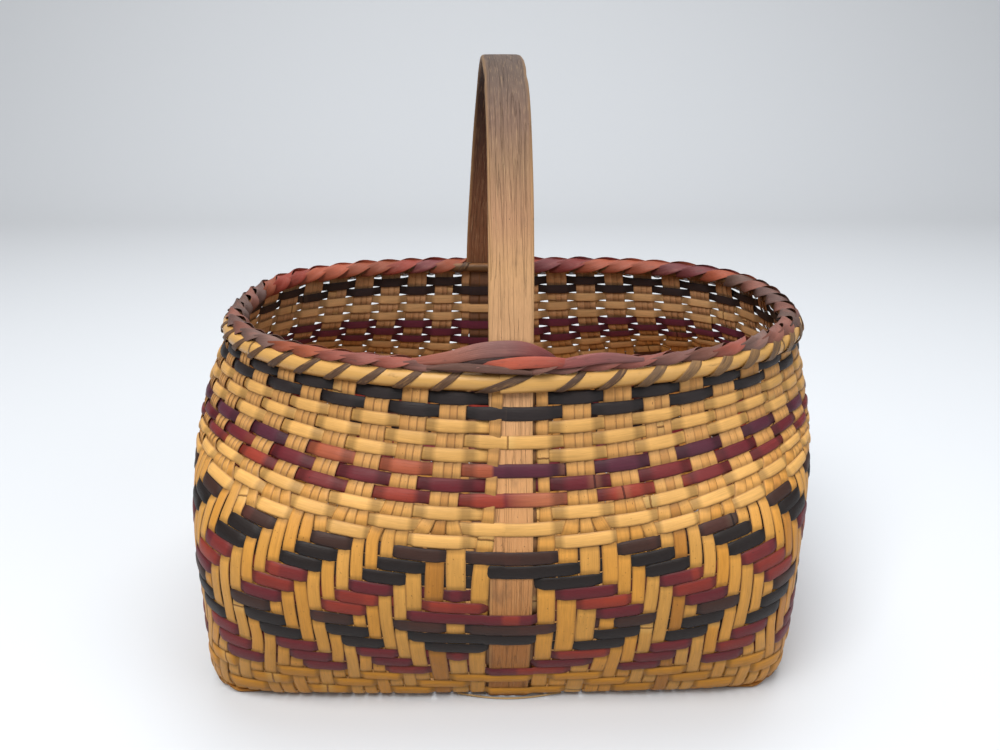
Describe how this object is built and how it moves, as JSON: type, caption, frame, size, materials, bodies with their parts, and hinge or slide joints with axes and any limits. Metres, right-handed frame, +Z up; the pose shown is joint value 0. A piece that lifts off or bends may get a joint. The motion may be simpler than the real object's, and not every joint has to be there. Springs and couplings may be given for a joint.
{
  "type": "river cane basket",
  "caption": "Woven river cane market basket with a flat rectangular base, swelling walls in coloured bands, an oval lashed rim and a fixed bow handle.",
  "frame": {"origin": "under the middle of the basket, at the floor, on the flat underside of the middle base ribbon", "axes": "+Z up out of the mouth, -Y towards the front wall that the picture shows, +X to the right of that wall, along the longer side"},
  "size_m": [0.3246, 0.2726, 0.2996],
  "materials": {
    "cane": "split river cane, natural yellow, satin",
    "cane_pale": "split river cane, paler and browner, satin",
    "burgundy": "split river cane dyed burgundy, satin",
    "plum": "split river cane dyed purple-burgundy, satin",
    "rust": "split river cane dyed orange-red, satin",
    "black": "split river cane dyed black, satin",
    "brown": "split river cane dyed dark brown, satin",
    "oak": "hand-split oak, worn, matte",
    "hoop_cane": "half-round cane, satin",
    "bark": "flat bark strip, brown-grey, matte",
    "brick": "folded splint braid dyed brick red, satin"
  },
  "bodies": {
    "root": {"handle_bow": "oak", "stake_across_01": "cane", "stake_across_02": "cane", "stake_across_03": "cane", "stake_across_04": "cane", "stake_across_05": "cane", "stake_across_06": "cane", "stake_across_07": "cane", "stake_across_08": "cane", "stake_across_09": "cane", "stake_across_10": "cane", "stake_left_1": "cane", "stake_left_2": "cane", "stake_left_3": "cane", "stake_left_4": "cane", "stake_left_5": "cane", "stake_left_6": "cane", "stake_right_1": "cane", "stake_right_2": "cane", "stake_right_3": "cane", "stake_right_4": "cane", "stake_right_5": "cane", "stake_right_6": "cane", "leg_splint_left": "cane", "leg_splint_right": "cane", "stake_behind_handle": "cane", "weft_01": "cane", "weft_02": "cane", "weft_03": "cane", "weft_04": "burgundy", "weft_05": "burgundy", "weft_06": "burgundy", "weft_07": "black", "weft_08": "black", "weft_09": "brown", "weft_10": "burgundy", "weft_11": "rust", "weft_12": "burgundy", "weft_13": "black", "weft_14": "black", "weft_15": "brown", "weft_16": "cane_pale", "weft_17": "cane_pale", "weft_18": "cane_pale", "weft_19": "rust", "weft_20": "burgundy", "weft_21": "plum", "weft_22": "cane_pale", "weft_23": "cane_pale", "weft_24": "cane_pale", "weft_25": "black", "weft_26": "black", "outer_hoop": "hoop_cane", "inner_hoop": "hoop_cane", "rim_lashing": "bark", "rim_braid": "brick"}
  },
  "joints": []
}
